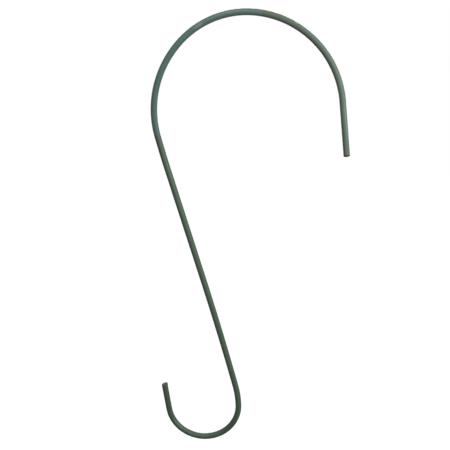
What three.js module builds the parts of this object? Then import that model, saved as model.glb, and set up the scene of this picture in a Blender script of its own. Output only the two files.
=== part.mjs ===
// Branch hook: a round steel rod, bent cold into a wide crown that hangs over a tree branch and a
// small hook below that carries a planter by its ring or chain. A green coating covers the rod
// all along and leaves the steel bare at both cut ends.
//
// Millimetres, +Z up. The rod is bent in the XZ plane. The origin is the branch seat, on the flat
// inside the crown. Z is the line of pull, +X points to the open side of the crown, and the planter
// seat lies straight below the origin.
import * as THREE from "three";

// Rod and coating
const STEEL_DIAMETER = 6;
const COATING_CLEARANCE = 0.03;
const COATING_WALL = 0.2;
const BARE_END = 0.3;

// Small hook, from its cut end to the planter seat, and from there up to the shank
const HOOK_TAIL_LENGTH = 29.5;
const HOOK_TIP_RADIUS = 40;
const HOOK_TIP_TURN = 74;
const HOOK_HEEL_RADIUS = 36.5;
const HOOK_HEEL_TURN = 99;
const HOOK_NECK_RADIUS = 105;
const HOOK_NECK_TURN = 13;

// Shank: a slight bow above the small hook, a straight length, and a slight lean into the crown
const SHANK_BOW_RADIUS = 3700;
const SHANK_BOW_TURN = 2;
const SHANK_LENGTH = 118;
const SHANK_LEAN_RADIUS = 1000;
const SHANK_LEAN_TURN = 2;

// Crown, from the shank over the branch seat to its cut end
const CROWN_SHOULDER_RADIUS = 97;
const CROWN_SHOULDER_TURN = 58;
const CROWN_TOP_RADIUS = 88;
const CROWN_OUTER_RADIUS = 96;
const CROWN_OUTER_TURN = 76;
const CROWN_TAIL_LENGTH = 54;

// The rod is level at both seats, so what turns it up from the planter seat is turned back by the
// branch seat, and the top of the crown takes what the bends before it leave
const CROWN_TOP_TURN =
  HOOK_HEEL_TURN + HOOK_NECK_TURN + SHANK_BOW_TURN - SHANK_LEAN_TURN - CROWN_SHOULDER_TURN;

// How finely the round rod and its bends are cut into flats
const SIDES = 24;
const TURN_PER_RING = 5;
const SPACING_PER_RING = 45;

const COATING_RADIUS = STEEL_DIAMETER / 2 + COATING_CLEARANCE + COATING_WALL;

// A run of the rod is straight or a bend of one radius. A positive turn is anticlockwise with +X to
// the right and +Z up. A seat is named on the bend that ends at it.
function straight(length) {
  return { length, turn: 0, ringShares: [1] };
}

function bend(radius, turnDegrees, { startsAtSeat = false, seat = null } = {}) {
  const turn = THREE.MathUtils.degToRad(turnDegrees);
  const length = radius * Math.abs(turn);
  const rings = Math.max(
    Math.round(Math.abs(turnDegrees) / TURN_PER_RING),
    Math.ceil(length / SPACING_PER_RING),
  );
  return { length, turn, seat, ringShares: ringShares(rings, startsAtSeat, seat !== null) };
}

// Where the rings of a bend lie, as shares of its length. The first is the one after its start. At a
// seat there is no ring but half a step on either side, so that a flat lies square across the seat.
function ringShares(rings, startsAtSeat, endsAtSeat) {
  const halfSteps = (startsAtSeat ? 1 : 0) + (endsAtSeat ? 1 : 0);
  const steps = rings + halfSteps / 2;
  const firstStep = startsAtSeat ? 1 / 2 : 1;
  const ringCount = startsAtSeat ? rings + 1 : rings;
  return Array.from({ length: ringCount }, (_, ring) => (firstStep + ring) / steps);
}

// The point and heading at a share of a run that starts at the given point and heading
function along(start, run, share) {
  const distance = run.length * share;
  if (run.turn === 0) {
    return {
      x: start.x + distance * Math.cos(start.heading),
      z: start.z + distance * Math.sin(start.heading),
      heading: start.heading,
    };
  }
  const signedRadius = run.length / run.turn;
  const heading = start.heading + run.turn * share;
  return {
    x: start.x + signedRadius * (Math.sin(heading) - Math.sin(start.heading)),
    z: start.z + signedRadius * (Math.cos(start.heading) - Math.cos(heading)),
    heading,
  };
}

// Rod centreline stations, from a cut that leaves the given length off both tails
function rodStations(offEachTail) {
  const runs = [
    straight(HOOK_TAIL_LENGTH - offEachTail),
    bend(HOOK_TIP_RADIUS, HOOK_TIP_TURN, { seat: "planter" }),
    bend(HOOK_HEEL_RADIUS, HOOK_HEEL_TURN, { startsAtSeat: true }),
    bend(HOOK_NECK_RADIUS, HOOK_NECK_TURN),
    bend(SHANK_BOW_RADIUS, SHANK_BOW_TURN),
    straight(SHANK_LENGTH),
    bend(SHANK_LEAN_RADIUS, -SHANK_LEAN_TURN),
    bend(CROWN_SHOULDER_RADIUS, -CROWN_SHOULDER_TURN),
    bend(CROWN_TOP_RADIUS, -CROWN_TOP_TURN, { seat: "branch" }),
    bend(CROWN_OUTER_RADIUS, -CROWN_OUTER_TURN, { startsAtSeat: true }),
    straight(CROWN_TAIL_LENGTH - offEachTail),
  ];
  let start = { x: 0, z: 0, heading: -THREE.MathUtils.degToRad(HOOK_TIP_TURN) };
  const stations = [start];
  const seats = {};
  for (const run of runs) {
    stations.push(...run.ringShares.map((share) => along(start, run, share)));
    start = along(start, run, 1);
    if (run.seat) {
      seats[run.seat] = { x: start.x, nextRing: stations.length };
    }
  }
  const originX = seats.branch.x;
  const originZ = flatHeight(stations, seats.branch) - COATING_RADIUS;
  return stations.map(({ x, z, heading }) => ({ x: x - originX, z: z - originZ, heading }));
}

// How high the centreline of the flat between two rings passes a seat
function flatHeight(stations, seat) {
  const before = stations[seat.nextRing - 1];
  const after = stations[seat.nextRing];
  return THREE.MathUtils.mapLinear(seat.x, before.x, after.x, before.z, after.z);
}

// The centreline as a curve that is followed from station to station, whatever their spacing
class RodCurve extends THREE.Curve {
  constructor(stations) {
    super();
    this.stations = stations;
    this.steps = stations.length - 1;
  }

  between(t) {
    const place = t * this.steps;
    const index = Math.min(Math.floor(place), this.steps - 1);
    return { from: this.stations[index], to: this.stations[index + 1], share: place - index };
  }

  getPoint(t, target = new THREE.Vector3()) {
    const { from, to, share } = this.between(t);
    return target.set(
      THREE.MathUtils.lerp(from.x, to.x, share),
      0,
      THREE.MathUtils.lerp(from.z, to.z, share),
    );
  }

  getTangent(t, target = new THREE.Vector3()) {
    const { from, to, share } = this.between(t);
    const heading = THREE.MathUtils.lerp(from.heading, to.heading, share);
    return target.set(Math.cos(heading), 0, Math.sin(heading));
  }

  getUtoTmapping(u) {
    return u;
  }
}

// A round section as a polygon whose flats, not its corners, lie on the circle
function roundSection(PathClass, radius) {
  const cornerRadius = radius / Math.cos(Math.PI / SIDES);
  const corners = Array.from({ length: SIDES }, (_, side) => {
    const angle = (2 * Math.PI * (side + 1 / 2)) / SIDES;
    return new THREE.Vector2(cornerRadius * Math.cos(angle), cornerRadius * Math.sin(angle));
  });
  return new PathClass(corners);
}

function sweep(section, stations) {
  const extrudePath = new RodCurve(stations);
  return new THREE.ExtrudeGeometry(section, { steps: extrudePath.steps, extrudePath });
}

function makeSteelRod() {
  const section = roundSection(THREE.Shape, STEEL_DIAMETER / 2);
  const steel = new THREE.MeshStandardMaterial({ color: 0x77736a, roughness: 0.5, metalness: 0.85 });
  const rod = new THREE.Mesh(sweep(section, rodStations(0)), steel);
  rod.name = "steel_rod";
  return rod;
}

function makeGreenCoating() {
  const section = roundSection(THREE.Shape, COATING_RADIUS);
  section.holes.push(roundSection(THREE.Path, COATING_RADIUS - COATING_WALL));
  const green = new THREE.MeshStandardMaterial({ color: 0x51604f, roughness: 0.5, metalness: 0 });
  const coating = new THREE.Mesh(sweep(section, rodStations(BARE_END)), green);
  coating.name = "green_coating";
  return coating;
}

const branchHook = new THREE.Group();
branchHook.name = "branch_hook";
branchHook.add(makeSteelRod(), makeGreenCoating());

export default branchHook;
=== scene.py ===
"""Branch hook: a bent steel rod in a green coating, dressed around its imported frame.

The hook hangs by the inside of its crown, which is the origin. Z is the line of pull,
the rod is bent in the XZ plane, and +X points to the open side of the crown. Sizes are
real ones in millimetres, and become metres where a mesh, a lamp or the camera is made.
"""

from __future__ import annotations

import logging
import math
from collections.abc import Iterator
from contextlib import contextmanager
from dataclasses import dataclass
from enum import Enum
from functools import cached_property

import bmesh
import bpy
from mathutils import Matrix, Vector, noise


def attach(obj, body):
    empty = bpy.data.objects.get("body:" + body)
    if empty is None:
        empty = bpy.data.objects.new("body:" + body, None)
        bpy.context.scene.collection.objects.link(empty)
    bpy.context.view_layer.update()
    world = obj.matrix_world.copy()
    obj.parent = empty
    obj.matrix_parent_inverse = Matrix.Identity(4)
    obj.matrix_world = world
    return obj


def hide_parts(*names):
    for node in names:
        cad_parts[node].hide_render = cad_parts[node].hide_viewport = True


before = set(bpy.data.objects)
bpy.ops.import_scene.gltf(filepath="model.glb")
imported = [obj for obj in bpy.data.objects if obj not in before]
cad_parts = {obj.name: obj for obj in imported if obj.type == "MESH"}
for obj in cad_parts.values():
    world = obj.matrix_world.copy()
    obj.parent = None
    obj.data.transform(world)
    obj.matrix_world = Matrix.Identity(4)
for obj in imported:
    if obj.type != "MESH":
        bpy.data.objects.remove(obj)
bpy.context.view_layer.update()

MM = 0.001
FULL_TURN = 2 * math.pi
SMOOTH_ANGLE = math.radians(40)
ROOT_BODY = "root"
PLACE_NAME = "rod_place"
BAKE_MAP_NAME = "OFBake"

Socket = bpy.types.NodeSocket
Colour = tuple[float, float, float]
# Values along the rod, to its left and to its back
OnRod = tuple[float, float, float]

log = logging.getLogger("branch_hook")


# The route of the rod


class Turn(Enum):
    """Which way a run of the rod turns, seen from the front with +X to the right."""

    NONE = 0
    ANTICLOCKWISE = 1
    CLOCKWISE = -1


class CutEnd(Enum):
    """The two places where the rod was sheared to length."""

    SMALL_HOOK = "small_hook"
    CROWN = "crown"


@dataclass(frozen=True)
class Station:
    """A place on the middle of the rod, and the way the rod runs on from there.

    Attributes:
        x: Place to the right of the line of pull, in millimetres.
        z: Height above the branch seat, in millimetres.
        heading: Direction of travel in radians, anticlockwise from +X.
    """

    x: float
    z: float
    heading: float

    @cached_property
    def point(self) -> Vector:
        """The place as a vector in millimetres."""
        return Vector((self.x, 0, self.z))

    @cached_property
    def ahead(self) -> Vector:
        """The unit vector along the rod."""
        return Vector((math.cos(self.heading), 0, math.sin(self.heading)))

    @cached_property
    def left(self) -> Vector:
        """The unit vector across the rod in its plane, to the left of the way ahead."""
        return Vector((-math.sin(self.heading), 0, math.cos(self.heading)))


@dataclass(frozen=True)
class Run:
    """A straight length of the rod, or a bend of one radius.

    Attributes:
        start: Where the run begins.
        length: Length along the middle of the rod, in millimetres.
        turn: Which way the run turns.
        radius: Radius to the middle of the rod, in millimetres, or 0 where it is straight.
    """

    start: Station
    length: float
    turn: Turn
    radius: float = 0

    @cached_property
    def angle(self) -> float:
        """The angle that the whole run turns through, in radians and never negative."""
        return self.length / self.radius if self.radius else 0.0

    @cached_property
    def centre(self) -> Vector:
        """The middle that a bend is drawn around, in millimetres."""
        return self.start.point + self.start.left * (self.turn.value * self.radius)

    def heading_at(self, distance: float) -> float:
        """Give the heading at a distance from the start of the run."""
        turned = self.turn.value * distance / self.radius if self.radius else 0.0
        return self.start.heading + turned

    def station(self, distance: float) -> Station:
        """Give the station at a distance from the start of the run.

        Args:
            distance: Distance along the middle of the rod, in millimetres.

        Returns:
            The station there.
        """
        if self.turn is Turn.NONE:
            point = self.start.point + self.start.ahead * distance
            return Station(point.x, point.z, self.start.heading)
        heading = self.heading_at(distance)
        away = Vector((math.sin(heading), 0, -math.cos(heading)))
        point = self.centre + away * (self.turn.value * self.radius)
        return Station(point.x, point.z, heading)

    def locate(self, point: Vector) -> tuple[float, float]:
        """Find a point's distance along this run and to the left of it.

        Args:
            point: A point near the run, in millimetres.

        Returns:
            The distance along from the run's start, and the distance to the left.
        """
        if self.turn is Turn.NONE:
            offset = point - self.start.point
            return offset.dot(self.start.ahead), offset.dot(self.start.left)
        spoke = point - self.centre
        side = self.turn.value
        heading = math.atan2(side * spoke.x, -side * spoke.z)
        turned = side * (heading - self.start.heading)
        turned = (turned + math.pi) % FULL_TURN - math.pi
        across = self.radius - math.hypot(spoke.x, spoke.z)
        return turned * self.radius, side * across


@dataclass(frozen=True)
class RodPlace:
    """Where a point lies on the rod, as if the rod had been laid out straight.

    Attributes:
        along: Distance from the small hook's cut end, in millimetres.
        left: Distance to the left of the way ahead, in millimetres.
        back: Distance behind the plane of the bends, in millimetres.
        heading: Direction of the rod there, in radians.
    """

    along: float
    left: float
    back: float
    heading: float

    @property
    def ring_angle(self) -> float:
        """The angle round the rod, from its left side and by its back."""
        return math.atan2(self.back, self.left)

    @property
    def off_middle(self) -> float:
        """The distance from the middle of the rod."""
        return math.hypot(self.left, self.back)


@dataclass(frozen=True)
class RodRoute:
    """The bends of the rod, from the small hook's cut end to the crown's.

    Every radius is to the middle of the rod, and every size is in millimetres or degrees.
    A point beside a run, nearer to its middle than the rod's reach, lies on that run.
    """

    hook_tail_length: float = 29.5
    hook_tip_radius: float = 40
    hook_tip_turn: float = 74
    hook_heel_radius: float = 36.5
    hook_heel_turn: float = 99
    hook_neck_radius: float = 105
    hook_neck_turn: float = 13
    shank_bow_radius: float = 3700
    shank_bow_turn: float = 2
    shank_length: float = 118
    shank_lean_radius: float = 1000
    shank_lean_turn: float = 2
    crown_shoulder_radius: float = 97
    crown_shoulder_turn: float = 58
    crown_top_radius: float = 88
    crown_outer_radius: float = 96
    crown_outer_turn: float = 76
    crown_tail_length: float = 54
    middle_above_branch_seat: float = 3.31
    rod_reach: float = 5
    degrees_per_ring: float = 1.5
    longest_ring_step: float = 4

    @property
    def crown_top_turn(self) -> float:
        """What is left for the top of the crown, so that the rod is level at both seats."""
        turned_up = self.hook_heel_turn + self.hook_neck_turn + self.shank_bow_turn
        return turned_up - self.shank_lean_turn - self.crown_shoulder_turn

    @cached_property
    def runs(self) -> list[Run]:
        """The straights and bends in order, in the frame's own place."""
        # The branch seat is at the end of the crown's top.
        seat_run = 8
        chained = self._chain(Station(0, 0, -math.radians(self.hook_tip_turn)))
        seat = chained[seat_run].station(chained[seat_run].length)
        tip = Station(-seat.x, self.middle_above_branch_seat - seat.z, chained[0].start.heading)
        return self._chain(tip)

    def _chain(self, start: Station) -> list[Run]:
        """Lay the runs end to end from a station.

        Args:
            start: The middle of the small hook's cut end.

        Returns:
            The runs in order.
        """
        up, over = Turn.ANTICLOCKWISE, Turn.CLOCKWISE
        plan = [
            (Turn.NONE, self.hook_tail_length, 0),
            (up, self.hook_tip_radius, self.hook_tip_turn),
            (up, self.hook_heel_radius, self.hook_heel_turn),
            (up, self.hook_neck_radius, self.hook_neck_turn),
            (up, self.shank_bow_radius, self.shank_bow_turn),
            (Turn.NONE, self.shank_length, 0),
            (over, self.shank_lean_radius, self.shank_lean_turn),
            (over, self.crown_shoulder_radius, self.crown_shoulder_turn),
            (over, self.crown_top_radius, self.crown_top_turn),
            (over, self.crown_outer_radius, self.crown_outer_turn),
            (Turn.NONE, self.crown_tail_length, 0),
        ]
        runs: list[Run] = []
        for turn, size, degrees in plan:
            if turn is Turn.NONE:
                runs.append(Run(start, size, turn))
            else:
                runs.append(Run(start, size * math.radians(degrees), turn, size))
            start = runs[-1].station(runs[-1].length)
        return runs

    @cached_property
    def length(self) -> float:
        """The whole length of the rod along its middle."""
        return sum(run.length for run in self.runs)

    def place_of(self, point: Vector) -> RodPlace:
        """Find where a point lies on the rod.

        Args:
            point: A point on or in the rod, in millimetres.

        Returns:
            Its place on the rod laid out straight.
        """
        begun = 0.0
        nearest = math.inf
        place = RodPlace(0, 0, 0, 0)
        for run in self.runs:
            along, left = run.locate(point)
            before = 0.0 if run is self.runs[0] else max(-along, 0.0)
            beyond = 0.0 if run is self.runs[-1] else max(along - run.length, 0.0)
            off_middle = math.hypot(left, point.y)
            miss = before + beyond + off_middle
            if miss < nearest:
                nearest = miss
                place = RodPlace(begun + along, left, point.y, run.heading_at(along))
            if miss == off_middle and miss < self.rod_reach:
                break
            begun += run.length
        return place


# Modelling by operators


def select_only(obj: bpy.types.Object) -> None:
    """Make one object the selected and active one.

    Args:
        obj: The object.
    """
    bpy.ops.object.select_all(action="DESELECT")
    obj.select_set(True)
    bpy.context.view_layer.objects.active = obj


@contextmanager
def editing(obj: bpy.types.Object) -> Iterator[None]:
    """Keep an object in edit mode, with nothing selected at the start.

    Args:
        obj: The object to edit.

    Yields:
        Nothing. The object leaves edit mode afterwards.
    """
    select_only(obj)
    bpy.ops.object.mode_set(mode="EDIT")
    bpy.ops.mesh.select_all(action="DESELECT")
    yield
    bpy.ops.object.mode_set(mode="OBJECT")


def pick_ring(obj: bpy.types.Object, station: Station, near: float, far: float) -> None:
    """Select the edges of one ring square across the rod, while the object is edited.

    Args:
        obj: The object in edit mode.
        station: The middle of the ring.
        near: Least distance from the middle of the rod, in millimetres.
        far: Greatest distance from the middle of the rod, in millimetres.
    """
    off_plane = 0.01
    bpy.ops.mesh.select_mode(type="EDGE")
    bpy.ops.mesh.select_all(action="DESELECT")
    mesh = bmesh.from_edit_mesh(obj.data)

    def on_ring(vertex: bmesh.types.BMVert) -> bool:
        """Tell whether a vertex lies in the ring's plane, between near and far."""
        offset = vertex.co / MM - station.point
        return abs(offset.dot(station.ahead)) < off_plane and near < offset.length < far

    for edge in mesh.edges:
        if all(on_ring(vertex) for vertex in edge.verts):
            edge.select_set(True)
    bmesh.update_edit_mesh(obj.data)


@dataclass(frozen=True)
class RodSkin:
    """A round skin that is drawn along the whole rod, and open at both cut ends.

    Attributes:
        route: The bends of the rod.
        radius: Radius of the skin, in millimetres.
        sides: Number of faces round it.
        off_each_tail: How far short of both cut planes it stops, in millimetres.
        end_zone: Length at each cut end that has finer rings, in millimetres.
        end_step: Distance between those finer rings, in millimetres.
    """

    route: RodRoute
    radius: float
    sides: int
    off_each_tail: float
    end_zone: float = 5.0
    end_step: float = 0.2

    def draw(self, name: str) -> bpy.types.Object:
        """Draw the skin: a circle at the small hook's end, extruded and spun along the rod.

        Args:
            name: The name of the new object.

        Returns:
            The new object, in metres, at the origin.
        """
        runs = self.route.runs
        tip = runs[0].station(self.off_each_tail)
        upright = Matrix((tip.left, Vector((0, -1, 0)), tip.ahead)).transposed()
        bpy.ops.object.select_all(action="DESELECT")
        bpy.ops.mesh.primitive_circle_add(
            vertices=self.sides,
            radius=self.radius * MM,
            fill_type="NOTHING",
            location=tip.point * MM,
            rotation=upright.to_euler(),
        )
        skin = bpy.context.active_object
        skin.name = skin.data.name = name
        bpy.ops.object.transform_apply(location=True, rotation=True, scale=True)
        with editing(skin):
            bpy.ops.mesh.select_mode(type="EDGE")
            bpy.ops.mesh.select_all(action="SELECT")
            for run in runs:
                if run.turn is Turn.NONE:
                    self._extrude(run)
                else:
                    self._spin(run)
            bpy.ops.mesh.select_all(action="SELECT")
            bpy.ops.mesh.normals_make_consistent(inside=False)
        return skin

    def _extrude(self, run: Run) -> None:
        """Extrude the selected ring along a straight run, in finer steps near a cut end.

        Args:
            run: The straight run.
        """
        starts_cut, ends_cut = run is self.route.runs[0], run is self.route.runs[-1]
        fine_count = round(self.end_zone / self.end_step)
        length = run.length
        fine: list[float] = []
        if starts_cut or ends_cut:
            fine = [self.end_zone / fine_count] * fine_count
            length -= self.off_each_tail + self.end_zone
        count = math.ceil(length / self.route.longest_ring_step)
        coarse = [length / count] * count
        for step in fine + coarse if starts_cut else coarse + fine:
            move = {"value": run.start.ahead * (step * MM)}
            bpy.ops.mesh.extrude_region_move(TRANSFORM_OT_translate=move)

    def _spin(self, run: Run) -> None:
        """Spin the selected ring round a bend.

        Args:
            run: The bend.
        """
        by_angle = math.ceil(math.degrees(run.angle) / self.route.degrees_per_ring)
        by_length = math.ceil(run.length / self.route.longest_ring_step)
        bpy.ops.mesh.spin(
            steps=max(by_angle, by_length),
            angle=run.angle,
            center=run.centre * MM,
            axis=(0, run.turn.value, 0),
            use_auto_merge=False,
        )


@dataclass(frozen=True)
class ShearCut:
    """The shape that a shear leaves at a cut end, in millimetres.

    The blade comes from the outer side of the bend, or from between there and the
    front, and presses the edge on its side down to a soft bevel. On the far side it
    squeezes the rod out a little, and the rod breaks off there with a burr.

    Attributes:
        end: The cut end that it shapes.
        radius: Outside radius of the coated rod.
        longer: How far the middle of the face stands out beyond its plane.
        slant: How much longer the inner side of the bend is than the middle.
        lean: How much shorter the front is than the middle.
        swell: How far the far side is squeezed out.
        reach: How far along the rod these changes reach.
        blade_side: Direction that the blade comes from, in degrees from the outer side
            towards the front.
        bevel_share: Share of the radius, on the blade's side, where the bevel meets the face.
        bevel_reach: How far along the rod the bevel reaches.
        bevel_depth: Share of the way down to the bevel that the rod is pressed.
        bevel_blend: How softly the bevel begins.
        rim_drop: How far the whole rim is rolled in towards the middle.
        rim_reach: How far along the rod the rolled rim reaches.
        burr: Height of the burr at the far side.
        burr_share: Share of the radius, on the far side, where the burr begins.
        torn_share: Share of the radius, on the blade's side, where the torn break begins.
        grain: Depth of the torn grain of the break.
        grain_size: Size of that grain.
        skin: Depth at the face that the grain and the burr reach into.
    """

    end: CutEnd
    radius: float
    longer: float
    slant: float
    lean: float
    swell: float
    reach: float = 5.0
    blade_side: float = 25.0
    bevel_share: float = 0.93
    bevel_reach: float = 0.7
    bevel_depth: float = 0.8
    bevel_blend: float = 0.12
    rim_drop: float = 0.1
    rim_reach: float = 0.6
    burr: float = 0.2
    burr_share: float = 0.8
    torn_share: float = 0.5
    grain: float = 0.06
    grain_size: float = 0.45
    skin: float = 0.6

    def press(self, place: RodPlace, route: RodRoute) -> RodPlace:
        """Press a place near the cut end into the shape of the cut.

        Args:
            place: A place on the rod as it was before the cut.
            route: The bends of the rod.

        Returns:
            The place after the cut.
        """
        at_crown = self.end is CutEnd.CROWN
        inwards = -1 if at_crown else 1
        depth = max(route.length - place.along if at_crown else place.along, 0.0)
        outer = -inwards * place.left / self.radius
        front = -place.back / self.radius
        blade_angle = math.radians(self.blade_side)
        to_blade, across_blade = math.cos(blade_angle), math.sin(blade_angle)
        blade_share = outer * to_blade + front * across_blade
        far = max(0.0, -blade_share)

        near = max(0.0, 1 - depth / self.reach)
        face = max(0.0, 1 - depth / self.skin)
        rim = max(0.0, 1 - depth / self.rim_reach)
        moved_in = (self.slant * outer + self.lean * front - self.longer) * near
        ragged = noise.noise(Vector((place.left, place.back, inwards * self.radius)) / self.grain_size)
        torn = min(max(0.0, self.torn_share - blade_share), 1.0)
        burr = max(0.0, (far - self.burr_share) / (1 - self.burr_share))
        moved_in += (self.grain * ragged * torn - self.burr * burr * (1 + ragged)) * face

        bevel_at = self.bevel_share + (1 - self.bevel_share) * depth / self.bevel_reach
        over = (blade_share - bevel_at) * self.radius
        pressed = self.bevel_depth * (over + math.hypot(over, self.bevel_blend)) / 2
        # The press fades out between one reach of the bevel and two.
        pressed *= min(1.0, max(0.0, 2 - depth / self.bevel_reach))
        moved = self.swell * far * near**2 + pressed
        rolled = 1 - self.rim_drop / self.radius * (1 - math.sqrt(1 - rim**2))
        return RodPlace(
            place.along + inwards * moved_in,
            place.left * rolled + inwards * moved * to_blade,
            place.back * rolled + moved * across_blade,
            place.heading,
        )

    def shape(self, obj: bpy.types.Object, route: RodRoute) -> None:
        """Shape this cut end of a piece.

        Args:
            obj: The piece, with its place already stored in its mesh.
            route: The bends of the rod.
        """
        first, last = route.runs[0], route.runs[-1]
        at_crown = self.end is CutEnd.CROWN
        middle = last.station(last.length).point if at_crown else first.start.point
        within = math.hypot(self.reach, self.radius)
        for vertex in obj.data.vertices:
            point = vertex.co / MM
            if (point - middle).length > within:
                continue
            old = route.place_of(point)
            new = self.press(old, route)
            here = Station(0, 0, old.heading)
            point += here.ahead * (new.along - old.along) + here.left * (new.left - old.left)
            point.y += new.back - old.back
            vertex.co = point * MM
        obj.data.update()


# Maps that follow the rod


@dataclass(frozen=True)
class StripLayout:
    """How a piece's surface is laid out on its bake map, as shares of the map.

    The length of the rod is cut into strips, which lie one above the other. The walls
    that show have one band of the map, and the hidden ones another.

    Attributes:
        strips: Number of strips.
        shown_band: Lower and upper edge of the band of what shows.
        hidden_band: Lower and upper edge of the band of what is hidden.
        gutter: Empty share on each side of a strip.
    """

    strips: int = 6
    shown_band: tuple[float, float] = (0.12, 1.0)
    hidden_band: tuple[float, float] = (0.0, 0.11)
    gutter: float = 0.03

    def spot(self, along_share: float, ring_share: float, strip: int, hidden: bool) -> tuple[float, float]:
        """Give a corner's spot on the map.

        Args:
            along_share: Distance along the strip, as a share of its length.
            ring_share: Share of the way round the rod.
            strip: Which strip the face is on.
            hidden: Whether the face is on a hidden wall.

        Returns:
            The spot on the map.
        """
        low, high = self.hidden_band if hidden else self.shown_band
        filled = 1 - 2 * self.gutter
        height = (high - low) / self.strips
        across = self.gutter + filled * ring_share
        return self.gutter + filled * along_share, low + height * (strip + across)


def map_along_rod(
    obj: bpy.types.Object, route: RodRoute, layout: StripLayout, hidden_within: float
) -> None:
    """Give a piece its place attribute, and a bake map in strips along the rod.

    Args:
        obj: The piece, before its ends are cut.
        route: The bends of the rod.
        layout: How the strips lie on the map.
        hidden_within: A face whose corners all lie nearer than this to the middle of the
            rod, in millimetres, is a hidden one.
    """
    mesh = obj.data
    places = [route.place_of(vertex.co / MM) for vertex in mesh.vertices]
    attribute = mesh.attributes.new(PLACE_NAME, "FLOAT_VECTOR", "POINT")
    for item, place in zip(attribute.data, places):
        item.vector = (place.along, place.left, place.back)
    bake_map = mesh.uv_layers.new(name=BAKE_MAP_NAME)
    strip_length = route.length / layout.strips
    for face in mesh.polygons:
        corners = [places[number] for number in face.vertices]
        middle_along = sum(corner.along for corner in corners) / len(corners)
        middle_angle = math.atan2(
            sum(corner.back for corner in corners), sum(corner.left for corner in corners)
        )
        strip = min(max(int(middle_along / strip_length), 0), layout.strips - 1)
        hidden = max(corner.off_middle for corner in corners) < hidden_within
        for loop, corner in zip(face.loop_indices, corners):
            apart = (corner.ring_angle - middle_angle + math.pi) % FULL_TURN - math.pi
            ring_share = (middle_angle + apart) / FULL_TURN + 0.5
            share = corner.along / strip_length - strip
            bake_map.data[loop].uv = layout.spot(share, ring_share, strip, hidden)


# Finishes


@dataclass(frozen=True)
class Grain:
    """Noise on the surface of the rod.

    Attributes:
        per_mm: Grains a millimetre along the rod, to the left and to the back.
        detail: How many finer layers it has.
        low: Value up to which nothing shows, where it is used in patches.
        high: Value from which it shows in full there.
    """

    per_mm: OnRod
    detail: float
    low: float = 0.0
    high: float = 1.0


class Graph:
    """The node tree of a material or the world, with short ways to add and wire nodes."""

    def __init__(self, owner: bpy.types.Material | bpy.types.World) -> None:
        """Clear the owner's nodes and keep its tree.

        Args:
            owner: The material or the world.
        """
        owner.use_nodes = True
        self.tree = owner.node_tree
        self.tree.nodes.clear()

    def add(self, kind: str, inputs: dict | None = None, **settings: object) -> bpy.types.Node:
        """Add a node, with its settings and inputs.

        Args:
            kind: The node's type without the word ShaderNode.
            inputs: For each input's name or number, a value or the socket that feeds it.
            **settings: Properties of the node.

        Returns:
            The new node.
        """
        node = self.tree.nodes.new("ShaderNode" + kind)
        for name, value in settings.items():
            setattr(node, name, value)
        for key, value in (inputs or {}).items():
            if isinstance(value, Socket):
                self.tree.links.new(value, node.inputs[key])
            else:
                node.inputs[key].default_value = value
        return node

    def math(self, operation: str, *values: object, clamp: bool = False) -> Socket:
        """Add a Math node and give its result."""
        node = self.add("Math", dict(enumerate(values)), operation=operation, use_clamp=clamp)
        return node.outputs[0]

    def smooth_step(self, value: Socket, low: float, high: float) -> Socket:
        """Rise from 0 to 1 as the value goes from low to high."""
        spread = {"Value": value, "From Min": low, "From Max": high}
        return self.add("MapRange", spread, interpolation_type="SMOOTHSTEP").outputs["Result"]

    def centred(self, value: Socket, amount: float) -> Socket:
        """Turn a value from 0 to 1 into one from minus to plus half the amount."""
        return self.math("MULTIPLY", self.math("SUBTRACT", value, 0.5), amount)

    def tint(self, factor: object, one: object, other: object) -> Socket:
        """Mix two colours.

        Args:
            factor: Share of the other colour, as a number or socket.
            one: The colour at factor 0, as a colour or socket.
            other: The colour at factor 1, as a colour or socket.

        Returns:
            The socket of the mixed colour.
        """
        colours = [(*c, 1) if isinstance(c, tuple) else c for c in (one, other)]
        inputs = {0: factor, 6: colours[0], 7: colours[1]}
        return self.add("Mix", inputs, data_type="RGBA").outputs[2]

    def noise(self, place: Socket, grain: Grain) -> Socket:
        """Add noise on the surface of the rod.

        Args:
            place: The place on the rod.
            grain: The grain of the noise.

        Returns:
            The noise, from 0 to 1.
        """
        scaled = self.add("VectorMath", {0: place, 1: grain.per_mm}, operation="MULTIPLY").outputs[0]
        inputs = {"Vector": scaled, "Scale": 1.0, "Detail": grain.detail}
        return self.add("TexNoise", inputs).outputs[0]

    def patches(self, place: Socket, grain: Grain) -> Socket:
        """Add noise that shows in patches only, from the grain's low value to its high one."""
        return self.smooth_step(self.noise(place, grain), grain.low, grain.high)

    def finish(self, shader: Socket, output: str = "OutputMaterial") -> None:
        """Feed the output node with a shader."""
        self.add(output, {"Surface": shader})


@dataclass(frozen=True)
class Mark:
    """A patch of colour on the coating: a rub, a stain, a painted highlight or painted shade.

    Attributes:
        middle: Its middle along the rod, to the left and to the back, in millimetres.
        half_size: Half its length, its width and its depth, in millimetres.
        colour: Its colour.
        share: Share of that colour at its middle.
        solid_share: Share of its half size within which it doesn't fade.
        raggedness: How far its edge wavers, as a share of its half size.
    """

    middle: OnRod
    half_size: OnRod
    colour: Colour
    share: float
    solid_share: float = 0.45
    raggedness: float = 0.8

    def cover(self, graph: Graph, place: Socket, peel: Socket) -> Socket:
        """Give the share of the mark's colour at each place, with a ragged edge.

        Args:
            graph: The coating's node tree.
            place: The place on the rod.
            peel: Fine noise that the edge follows.

        Returns:
            The share, from 0 to the mark's own.
        """
        offset = graph.add("VectorMath", {0: place, 1: self.middle}, operation="SUBTRACT")
        scaled = graph.add("VectorMath", {0: offset.outputs[0], 1: self.half_size}, operation="DIVIDE")
        away = graph.add("VectorMath", {0: scaled.outputs[0]}, operation="LENGTH").outputs["Value"]
        ragged = graph.math("ADD", away, graph.centred(peel, self.raggedness))
        clear = graph.smooth_step(ragged, self.solid_share, 1.0)
        return graph.math("MULTIPLY", graph.math("SUBTRACT", 1.0, clear), self.share)


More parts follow.
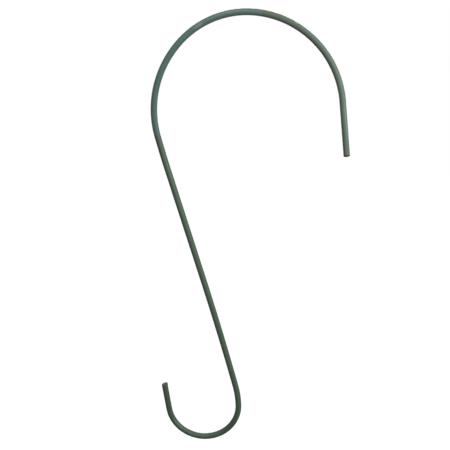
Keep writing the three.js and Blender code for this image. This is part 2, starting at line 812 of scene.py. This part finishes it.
@dataclass(frozen=True)
class CoatingFinish:
    """The green coating: a satin skin with faint draw lines, marks, painted highlights and painted shade,
    and a cooler stretch.

    Distances are in millimetres along the rod from the small hook's cut end.
    """

    green: Colour = (0.059, 0.097, 0.062)
    pale_green: Colour = (0.081, 0.128, 0.086)
    line_grain: Grain = Grain((0.015, 1.2, 1.2), 3)
    line_contrast: float = 1.8
    cloud_grain: Grain = Grain((0.035, 0.25, 0.25), 2)
    peel_grain: Grain = Grain((1.4, 1.4, 1.4), 3)
    faded: Colour = (0.112, 0.145, 0.128)
    faded_share: float = 0.5
    fade_length: float = 60.0
    streak: Colour = (0.098, 0.106, 0.066)
    streak_share: float = 0.45
    streak_grain: Grain = Grain((0.07, 0.5, 0.5), 2, 0.5, 0.72)
    dusty: Colour = (0.128, 0.145, 0.122)
    dusty_share: float = 0.4
    scratch_grain: Grain = Grain((0.09, 5.5, 5.5), 2, 0.6, 0.74)
    speck_grain: Grain = Grain((2.6, 2.6, 2.6), 2, 0.6, 0.74)
    teal: Colour = (0.077, 0.134, 0.123)
    teal_share: float = 0.9
    teal_from: float = 451.5
    teal_to: float = 634.0
    teal_blend: float = 3.0
    lap: Colour = (0.082, 0.088, 0.066)
    lap_before: float = 6.0
    lap_after: float = 45.0
    lap_share: float = 0.45
    # A dull rub with painted shade on the inner side of the crown
    rub_and_shade: Colour = (0.080, 0.093, 0.080)
    rub_and_shade_share: float = 0.5
    rub_and_shade_side: float = 1.2
    rub_and_shade_side_blend: float = 2.8
    rub_and_shade_from: float = 555.0
    rub_and_shade_to: float = 745.0
    rub_and_shade_blend: float = 30.0
    worn: Colour = (0.098, 0.108, 0.076)
    tip_wear: float = 1.2
    tail_wear: float = 0.3
    marks: tuple[Mark, ...] = (
        # Painted highlights on the inner side of the small hook's bend
        Mark((51.0, 1.7, -2.8), (14.0, 1.6, 2.3), (0.118, 0.184, 0.136), 0.85),
        Mark((76.0, 1.15, -3.0), (19.0, 1.35, 2.0), (0.094, 0.150, 0.106), 0.65),
        # A darker stretch on the small hook's heel, and a brownish mark on its neck
        Mark((117.0, 0.0, -3.2), (18.0, 4.0, 5.0), (0.050, 0.068, 0.050), 0.5),
        Mark((159.5, 0.6, -3.2), (7.0, 1.7, 2.2), (0.105, 0.124, 0.085), 0.75),
        # Painted highlights along the right of the shank
        Mark((255.0, -0.7, -3.1), (70.0, 1.2, 2.0), (0.090, 0.140, 0.094), 0.4),
        Mark((390.0, -1.0, -3.0), (80.0, 1.2, 2.0), (0.105, 0.162, 0.112), 0.4),
        # A pale rub on the crown's top, and painted shade in a band on its outer bend
        Mark((572.0, 0.4, -3.2), (6.5, 2.5, 2.5), (0.139, 0.169, 0.155), 0.8),
        Mark((692.0, -0.6, -3.2), (60.0, 1.9, 3.0), (0.072, 0.080, 0.070), 0.4),
        # A painted highlight on the right of the crown's tail, and a brown rub near its cut
        Mark((776.0, 1.4, -2.9), (26.0, 1.2, 1.8), (0.155, 0.195, 0.168), 0.45),
        Mark((803.0, 0.1, -3.2), (7.5, 1.8, 2.0), (0.118, 0.124, 0.101), 0.65),
    )
    roughness: float = 0.36
    roughness_swing: float = 0.16
    specular_level: float = 0.09
    line_depth: float = 0.018
    peel_depth: float = 0.012

    def material(self, route: RodRoute) -> bpy.types.Material:
        """Build the coating's material.

        Args:
            route: The bends of the rod, for the places of its ends.

        Returns:
            The material.
        """
        made = bpy.data.materials.new("green_coating")
        graph = Graph(made)
        place = graph.add("Attribute", attribute_name=PLACE_NAME).outputs["Vector"]
        along = graph.add("SeparateXYZ", {0: place}).outputs["X"]
        lines = graph.noise(place, self.line_grain)
        cloud = graph.noise(place, self.cloud_grain)
        peel = graph.noise(place, self.peel_grain)
        streaks = graph.patches(place, self.streak_grain)
        scratches = graph.patches(place, self.scratch_grain)
        specks = graph.patches(place, self.speck_grain)
        dusty = graph.math("MULTIPLY", graph.math("MAXIMUM", scratches, specks), self.dusty_share)
        shade = graph.math("ADD", graph.centred(lines, self.line_contrast), cloud, clamp=True)
        colour = graph.tint(shade, self.green, self.pale_green)
        colour = self._add_stretches(graph, along, colour)
        colour = graph.tint(graph.math("MULTIPLY", streaks, self.streak_share), colour, self.streak)
        # Darken the inner side of the crown: a dull rub and painted shade
        colour = graph.tint(self._rub_and_shade_share(graph, place), colour, self.rub_and_shade)
        colour = graph.tint(dusty, colour, self.dusty)
        colour = graph.tint(self._worn_share(graph, along, peel, route), colour, self.worn)
        for mark in self.marks:
            colour = graph.tint(mark.cover(graph, place, peel), colour, mark.colour)
        line_height = graph.math("MULTIPLY", lines, self.line_depth)
        peel_height = graph.math("MULTIPLY", peel, self.peel_depth)
        height = graph.math("ADD", line_height, peel_height)
        bump = graph.add("Bump", {"Height": height, "Strength": 1.0, "Distance": MM})
        rough = graph.math("ADD", self.roughness, graph.centred(lines, self.roughness_swing))
        shader = graph.add("BsdfPrincipled", {
            "Base Color": colour,
            "Roughness": rough,
            "Normal": bump.outputs["Normal"],
            "Specular IOR Level": self.specular_level,
        })
        graph.finish(shader.outputs["BSDF"])
        return made

    def _add_stretches(self, graph: Graph, along: Socket, green: Socket) -> Socket:
        """Add the cooler stretch, its dull laps and the faded end of the crown to the green.

        Args:
            graph: The coating's node tree.
            along: The distance along the rod.
            green: The green of the coating.

        Returns:
            The colour with the stretches.
        """
        half = self.teal_blend / 2
        begun = graph.smooth_step(along, self.teal_from - half, self.teal_from + half)
        over = graph.smooth_step(along, self.teal_to - half, self.teal_to + half)
        lap_from = self.teal_from - self.lap_before
        near = graph.smooth_step(along, lap_from - half, lap_from + half)
        past = graph.smooth_step(along, self.teal_to, self.teal_to + self.lap_after)
        fading = graph.smooth_step(along, self.teal_to - half, self.teal_to + self.fade_length)
        colour = graph.tint(graph.math("MULTIPLY", fading, self.faded_share), green, self.faded)
        lapped = graph.math("MULTIPLY", graph.math("SUBTRACT", near, past), self.lap_share)
        colour = graph.tint(lapped, colour, self.lap)
        cool = graph.math("MULTIPLY", graph.math("SUBTRACT", begun, over), self.teal_share)
        return graph.tint(cool, colour, self.teal)

    def _worn_share(self, graph: Graph, along: Socket, peel: Socket, route: RodRoute) -> Socket:
        """Find where the coating is worn brown beside the cut ends.

        Args:
            graph: The coating's node tree.
            along: The distance along the rod.
            peel: Fine noise that the edge of the wear follows.
            route: The bends of the rod.

        Returns:
            The share of the brown wear.
        """
        ragged = graph.math("ADD", along, graph.centred(peel, self.tip_wear))
        past_tip = graph.smooth_step(ragged, self.tip_wear / 2, self.tip_wear * 2)
        at_tip = graph.math("SUBTRACT", 1.0, past_tip)
        at_tail = graph.smooth_step(along, route.length - self.tail_wear * 2, route.length)
        return graph.math("MAXIMUM", at_tip, at_tail)

    def _rub_and_shade_share(self, graph: Graph, place: Socket) -> Socket:
        """Find the dull rub and painted shade on the inner side of the crown, where the branch lies.

        Args:
            graph: The coating's node tree.
            place: The place on the rod.

        Returns:
            The share of the dull rub and its painted shade.
        """
        axes = graph.add("SeparateXYZ", {0: place}).outputs
        begun = graph.smooth_step(axes["X"], self.rub_and_shade_from, self.rub_and_shade_from + self.rub_and_shade_blend)
        over = graph.smooth_step(axes["X"], self.rub_and_shade_to - self.rub_and_shade_blend, self.rub_and_shade_to)
        inner_side = self.rub_and_shade_side - self.rub_and_shade_side_blend
        inside = graph.smooth_step(axes["Y"], self.rub_and_shade_side, inner_side)
        stretch = graph.math("MULTIPLY", graph.math("SUBTRACT", begun, over), self.rub_and_shade_share)
        return graph.math("MULTIPLY", stretch, inside)


@dataclass(frozen=True)
class SteelFinish:
    """The bare steel of the cut ends: a dull break with a breath of rust."""

    steel: Colour = (0.085, 0.099, 0.067)
    rust: Colour = (0.073, 0.071, 0.043)
    rust_grain: Grain = Grain((1.8, 1.8, 1.8), 3, 0.42, 0.68)
    drag_grain: Grain = Grain((1.0, 0.6, 5.0), 3)
    drag_depth: float = 0.04
    roughness: float = 0.55
    roughness_swing: float = 0.3
    metallic: float = 0.15
    specular_level: float = 0.05

    def material(self) -> bpy.types.Material:
        """Build the steel's material.

        Returns:
            The material.
        """
        made = bpy.data.materials.new("sheared_steel")
        graph = Graph(made)
        place = graph.add("Attribute", attribute_name=PLACE_NAME).outputs["Vector"]
        drag = graph.noise(place, self.drag_grain)
        specks = graph.noise(place, self.rust_grain)
        rusty = graph.smooth_step(specks, self.rust_grain.low, self.rust_grain.high)
        rough = graph.math("ADD", self.roughness, graph.centred(specks, self.roughness_swing), clamp=True)
        bump = graph.add("Bump", {"Height": drag, "Strength": 1.0, "Distance": self.drag_depth * MM})
        shader = graph.add("BsdfPrincipled", {
            "Base Color": graph.tint(rusty, self.steel, self.rust),
            "Roughness": rough,
            "Metallic": self.metallic,
            "Specular IOR Level": self.specular_level,
            "Normal": bump.outputs["Normal"],
        })
        graph.finish(shader.outputs["BSDF"])
        return made


# The pieces


@dataclass(frozen=True)
class HookPiece:
    """A piece of the hook, and what it stands for in the frame.

    Attributes:
        name: The piece's name.
        node: The frame's node that it replaces.
        slot: The material slot that it takes its finish from. It is not used.
    """

    name: str
    node: str
    slot: str

    def hand_over(self, obj: bpy.types.Object, material: bpy.types.Material) -> None:
        """Dress a finished piece and tie it to the frame.

        Args:
            obj: The finished piece.
            material: Its finish.
        """
        obj.data.materials.append(material)
        select_only(obj)
        bpy.ops.object.shade_smooth_by_angle(angle=SMOOTH_ANGLE)
        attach(obj, ROOT_BODY)
        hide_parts(self.node)
        log.info("%s: %d faces, stands for %s", obj.name, len(obj.data.polygons), self.node)


@dataclass(frozen=True)
class SteelRod:
    """The bent steel rod. Only its two sheared faces and their rims show.

    Attributes:
        piece: Its name and its node.
        diameter: Diameter of the steel, in millimetres.
        sides: Number of faces round it.
        rim_round: Rounding of the rims of its cut faces, in millimetres.
        rim_segments: Number of faces across that rounding.
        rim_slack: Share of the radius by which a rim is told from the rings beside it.
        face_rings: Number of rings of faces on each cut face.
    """

    piece: HookPiece = HookPiece("bent_steel_rod", "steel_rod", "steel")
    diameter: float = 6.0
    sides: int = 64
    rim_round: float = 0.06
    rim_segments: int = 3
    rim_slack: float = 0.02
    face_rings: int = 12

    def build(self, route: RodRoute, cuts: tuple[ShearCut, ...]) -> None:
        """Model the rod, with a torn face at both cut ends.

        Args:
            route: The bends of the rod.
            cuts: The shapes of the cut ends.
        """
        radius = self.diameter / 2
        rod = RodSkin(route, radius, self.sides, off_each_tail=0).draw(self.piece.name)
        last = route.runs[-1]
        with editing(rod):
            for station in (route.runs[0].start, last.station(last.length)):
                self._close(rod, station, radius)
        map_along_rod(rod, route, StripLayout(), hidden_within=0)
        for cut in cuts:
            cut.shape(rod, route)
        self.piece.hand_over(rod, SteelFinish().material())

    def _close(self, rod: bpy.types.Object, station: Station, radius: float) -> None:
        """Close a cut end with rings of faces, and round its rim.

        Args:
            rod: The rod in edit mode.
            station: The middle of the cut end.
            radius: Radius of the rod, in millimetres.
        """
        near, far = radius * (1 - self.rim_slack), radius * (1 + self.rim_slack)
        pick_ring(rod, station, near, far)
        bpy.ops.mesh.edge_face_add()
        bpy.ops.mesh.select_mode(type="FACE")
        for _ in range(self.face_rings):
            bpy.ops.mesh.inset(thickness=radius / (self.face_rings + 1) * MM)
        bpy.ops.mesh.poke()
        pick_ring(rod, station, near, far)
        bpy.ops.mesh.bevel(offset=self.rim_round * MM, segments=self.rim_segments)


@dataclass(frozen=True)
class GreenCoating:
    """The green coating: a skin over the whole rod, open at both cut ends.

    Attributes:
        piece: Its name and its node.
        outside: Outside diameter, in millimetres.
        wall: Thickness, in millimetres.
        bare_end: Length of bare steel at each cut end, in millimetres.
        sides: Number of faces round it.
        lip_round: Rounding of the outer edge of its lips, in millimetres.
        lip_segments: Number of faces across that rounding.
    """

    piece: HookPiece = HookPiece("green_coating_skin", "green_coating", "green_coating")
    outside: float = 6.46
    wall: float = 0.2
    bare_end: float = 0.3
    sides: int = 64
    lip_round: float = 0.12
    lip_segments: int = 4

    def build(self, route: RodRoute, cuts: tuple[ShearCut, ...]) -> None:
        """Model the coating, with its wall and its soft lips.

        Args:
            route: The bends of the rod.
            cuts: The shapes of the cut ends.
        """
        radius = self.outside / 2
        skin = RodSkin(route, radius, self.sides, self.bare_end).draw(self.piece.name)
        solidify = skin.modifiers.new("wall", "SOLIDIFY")
        solidify.thickness = self.wall * MM
        solidify.offset = -1
        select_only(skin)
        bpy.ops.object.modifier_apply(modifier=solidify.name)
        first, last = route.runs[0], route.runs[-1]
        with editing(skin):
            for station in (first.station(self.bare_end), last.station(last.length - self.bare_end)):
                pick_ring(skin, station, radius - self.wall / 2, radius + self.wall)
                bpy.ops.mesh.bevel(offset=self.lip_round * MM, segments=self.lip_segments)
        map_along_rod(skin, route, StripLayout(), hidden_within=radius - self.wall / 2)
        for cut in cuts:
            cut.shape(skin, route)
        self.piece.hand_over(skin, CoatingFinish().material(route))


# The studio and the camera


def seen_directly(graph: Graph) -> Socket:
    """Tell the rays that see the surroundings from those that light the hook.

    Args:
        graph: The node tree of the floor or the world.

    Returns:
        1 for rays of the camera, of gloss and of transmission, and 0 for the rest.
    """
    path = graph.add("LightPath")
    straight = graph.math("MAXIMUM", path.outputs["Is Camera Ray"], path.outputs["Is Glossy Ray"])
    return graph.math("MAXIMUM", straight, path.outputs["Is Transmission Ray"])


@dataclass(frozen=True)
class Lamp:
    """A soft square lamp.

    Attributes:
        name: The lamp's name.
        place: Where it stands, in metres.
        aim: The point that it faces, in metres.
        size: Length of its sides, in metres.
        power: Its power in watts.
    """

    name: str
    place: tuple[float, float, float]
    aim: tuple[float, float, float]
    size: float
    power: float

    def light(self) -> None:
        """Add the lamp to the scene."""
        data = bpy.data.lights.new(self.name, "AREA")
        data.size = self.size
        data.energy = self.power
        lamp = bpy.data.objects.new(self.name, data)
        bpy.context.scene.collection.objects.link(lamp)
        lamp.location = self.place
        lamp.rotation_euler = (Vector(self.aim) - Vector(self.place)).to_track_quat("-Z", "Y").to_euler()
        lamp.visible_camera = False


@dataclass(frozen=True)
class Studio:
    """A plain pale floor far below the hook, and soft lamps to its right, above and behind.

    Attributes:
        floor_height: Height of the floor, in metres, from the branch seat.
        floor_radius: Radius of the floor, in metres.
        floor_sides: Number of sides of its edge.
        floor_shade: Share of the light that the floor gives back.
        floor_lift: What the camera sees of the floor beyond the light on it.
        ambient: Light from all round.
        lamps: The lamps.
    """

    floor_height: float = -1.5
    floor_radius: float = 9.0
    floor_sides: int = 96
    floor_shade: float = 0.8
    floor_lift: float = 0.98
    ambient: float = 0.05
    lamps: tuple[Lamp, ...] = (
        Lamp("side_lamp", (0.44, -0.40, 0.07), (0.0, 0.0, -0.15), 0.2, 4.0),
        Lamp("top_lamp", (-0.25, -0.46, 0.61), (0.0, 0.0, -0.15), 0.2, 6.0),
        Lamp("back_lamp", (0.1, 1.0, 0.1), (0.0, 0.0, -0.15), 0.4, 9.0),
    )

    def build(self) -> None:
        """Set up the floor, the world and the lamps."""
        self._floor()
        self._world()
        for lamp in self.lamps:
            lamp.light()

    def _floor(self) -> None:
        """Lay the floor, which keeps the hook's shadow and still reads as white."""
        bpy.ops.object.select_all(action="DESELECT")
        bpy.ops.mesh.primitive_circle_add(
            vertices=self.floor_sides,
            radius=self.floor_radius,
            fill_type="NGON",
            location=(0, 0, self.floor_height),
        )
        floor = bpy.context.active_object
        floor.name = "studio_floor"
        bpy.ops.object.transform_apply(location=True, rotation=True, scale=True)
        made = bpy.data.materials.new("pale_floor")
        graph = Graph(made)
        pale = (self.floor_shade, self.floor_shade, self.floor_shade, 1)
        matte = graph.add("BsdfDiffuse", {"Color": pale}).outputs[0]
        lift = graph.add("Emission", {"Strength": self.floor_lift}).outputs[0]
        lifted = graph.add("AddShader", {0: matte, 1: lift}).outputs[0]
        mixed = graph.add("MixShader", {0: seen_directly(graph), 1: matte, 2: lifted})
        graph.finish(mixed.outputs[0])
        floor.data.materials.append(made)

    def _world(self) -> None:
        """Make the world white to look at, and dimmer as a light."""
        world = bpy.data.worlds.new("studio_world")
        bpy.context.scene.world = world
        graph = Graph(world)
        white = (1, 1, 1, 1)
        dim = graph.add("Background", {"Color": white, "Strength": self.ambient}).outputs[0]
        full = graph.add("Background", {"Color": white, "Strength": 1.0}).outputs[0]
        mixed = graph.add("MixShader", {0: seen_directly(graph), 1: dim, 2: full})
        graph.finish(mixed.outputs[0], "OutputWorld")


@dataclass(frozen=True)
class PhotoCamera:
    """The camera at the photograph's viewing angle, level with the crown.

    Attributes:
        lens: Focal length, in millimetres.
        sensor: Width of the sensor, in millimetres.
        aim: The point in the plane of the rod at the middle of the picture, in metres.
        distance: Distance from there, in metres.
        elevation: Angle that the camera looks down at the plane of the rod, in degrees.
        roll: Angle that the picture is turned in that plane, in degrees.
    """

    lens: float = 60.0
    sensor: float = 36.0
    aim: tuple[float, float, float] = (-0.00497, 0.0, -0.20772)
    distance: float = 0.7654
    elevation: float = 15.11
    roll: float = 7.396

    def place(self) -> None:
        """Add the camera to the scene and look through it."""
        elevation, roll = math.radians(self.elevation), math.radians(self.roll)
        across = Vector((0, 1, 0))
        up_in_plane = Vector((-math.sin(roll), 0, math.cos(roll)))
        back = up_in_plane * math.sin(elevation) - across * math.cos(elevation)
        up = up_in_plane * math.cos(elevation) + across * math.sin(elevation)
        data = bpy.data.cameras.new("photo_camera")
        data.lens = self.lens
        data.sensor_width = self.sensor
        camera = bpy.data.objects.new("photo_camera", data)
        bpy.context.scene.collection.objects.link(camera)
        turned = Matrix((up.cross(back), up, back)).transposed().to_4x4()
        camera.matrix_world = Matrix.Translation(Vector(self.aim) + back * self.distance) @ turned
        bpy.context.scene.camera = camera


def main() -> None:
    """Build the pieces of the hook, the studio and the camera, and report the pieces."""
    PhotoCamera().place()
    Studio().build()
    route = RodRoute()
    coating = GreenCoating()
    radius = coating.outside / 2
    cuts = (
        ShearCut(CutEnd.SMALL_HOOK, radius, longer=0.4, slant=0.4, lean=0.0, swell=0.42),
        ShearCut(CutEnd.CROWN, radius, longer=-0.14, slant=-0.1, lean=1.6, swell=0.0),
    )
    SteelRod().build(route, cuts)
    coating.build(route, cuts)
    bpy.context.scene.view_settings.view_transform = "Standard"


if __name__ == "__main__":
    logging.basicConfig(level=logging.INFO, format="%(message)s")
    main()
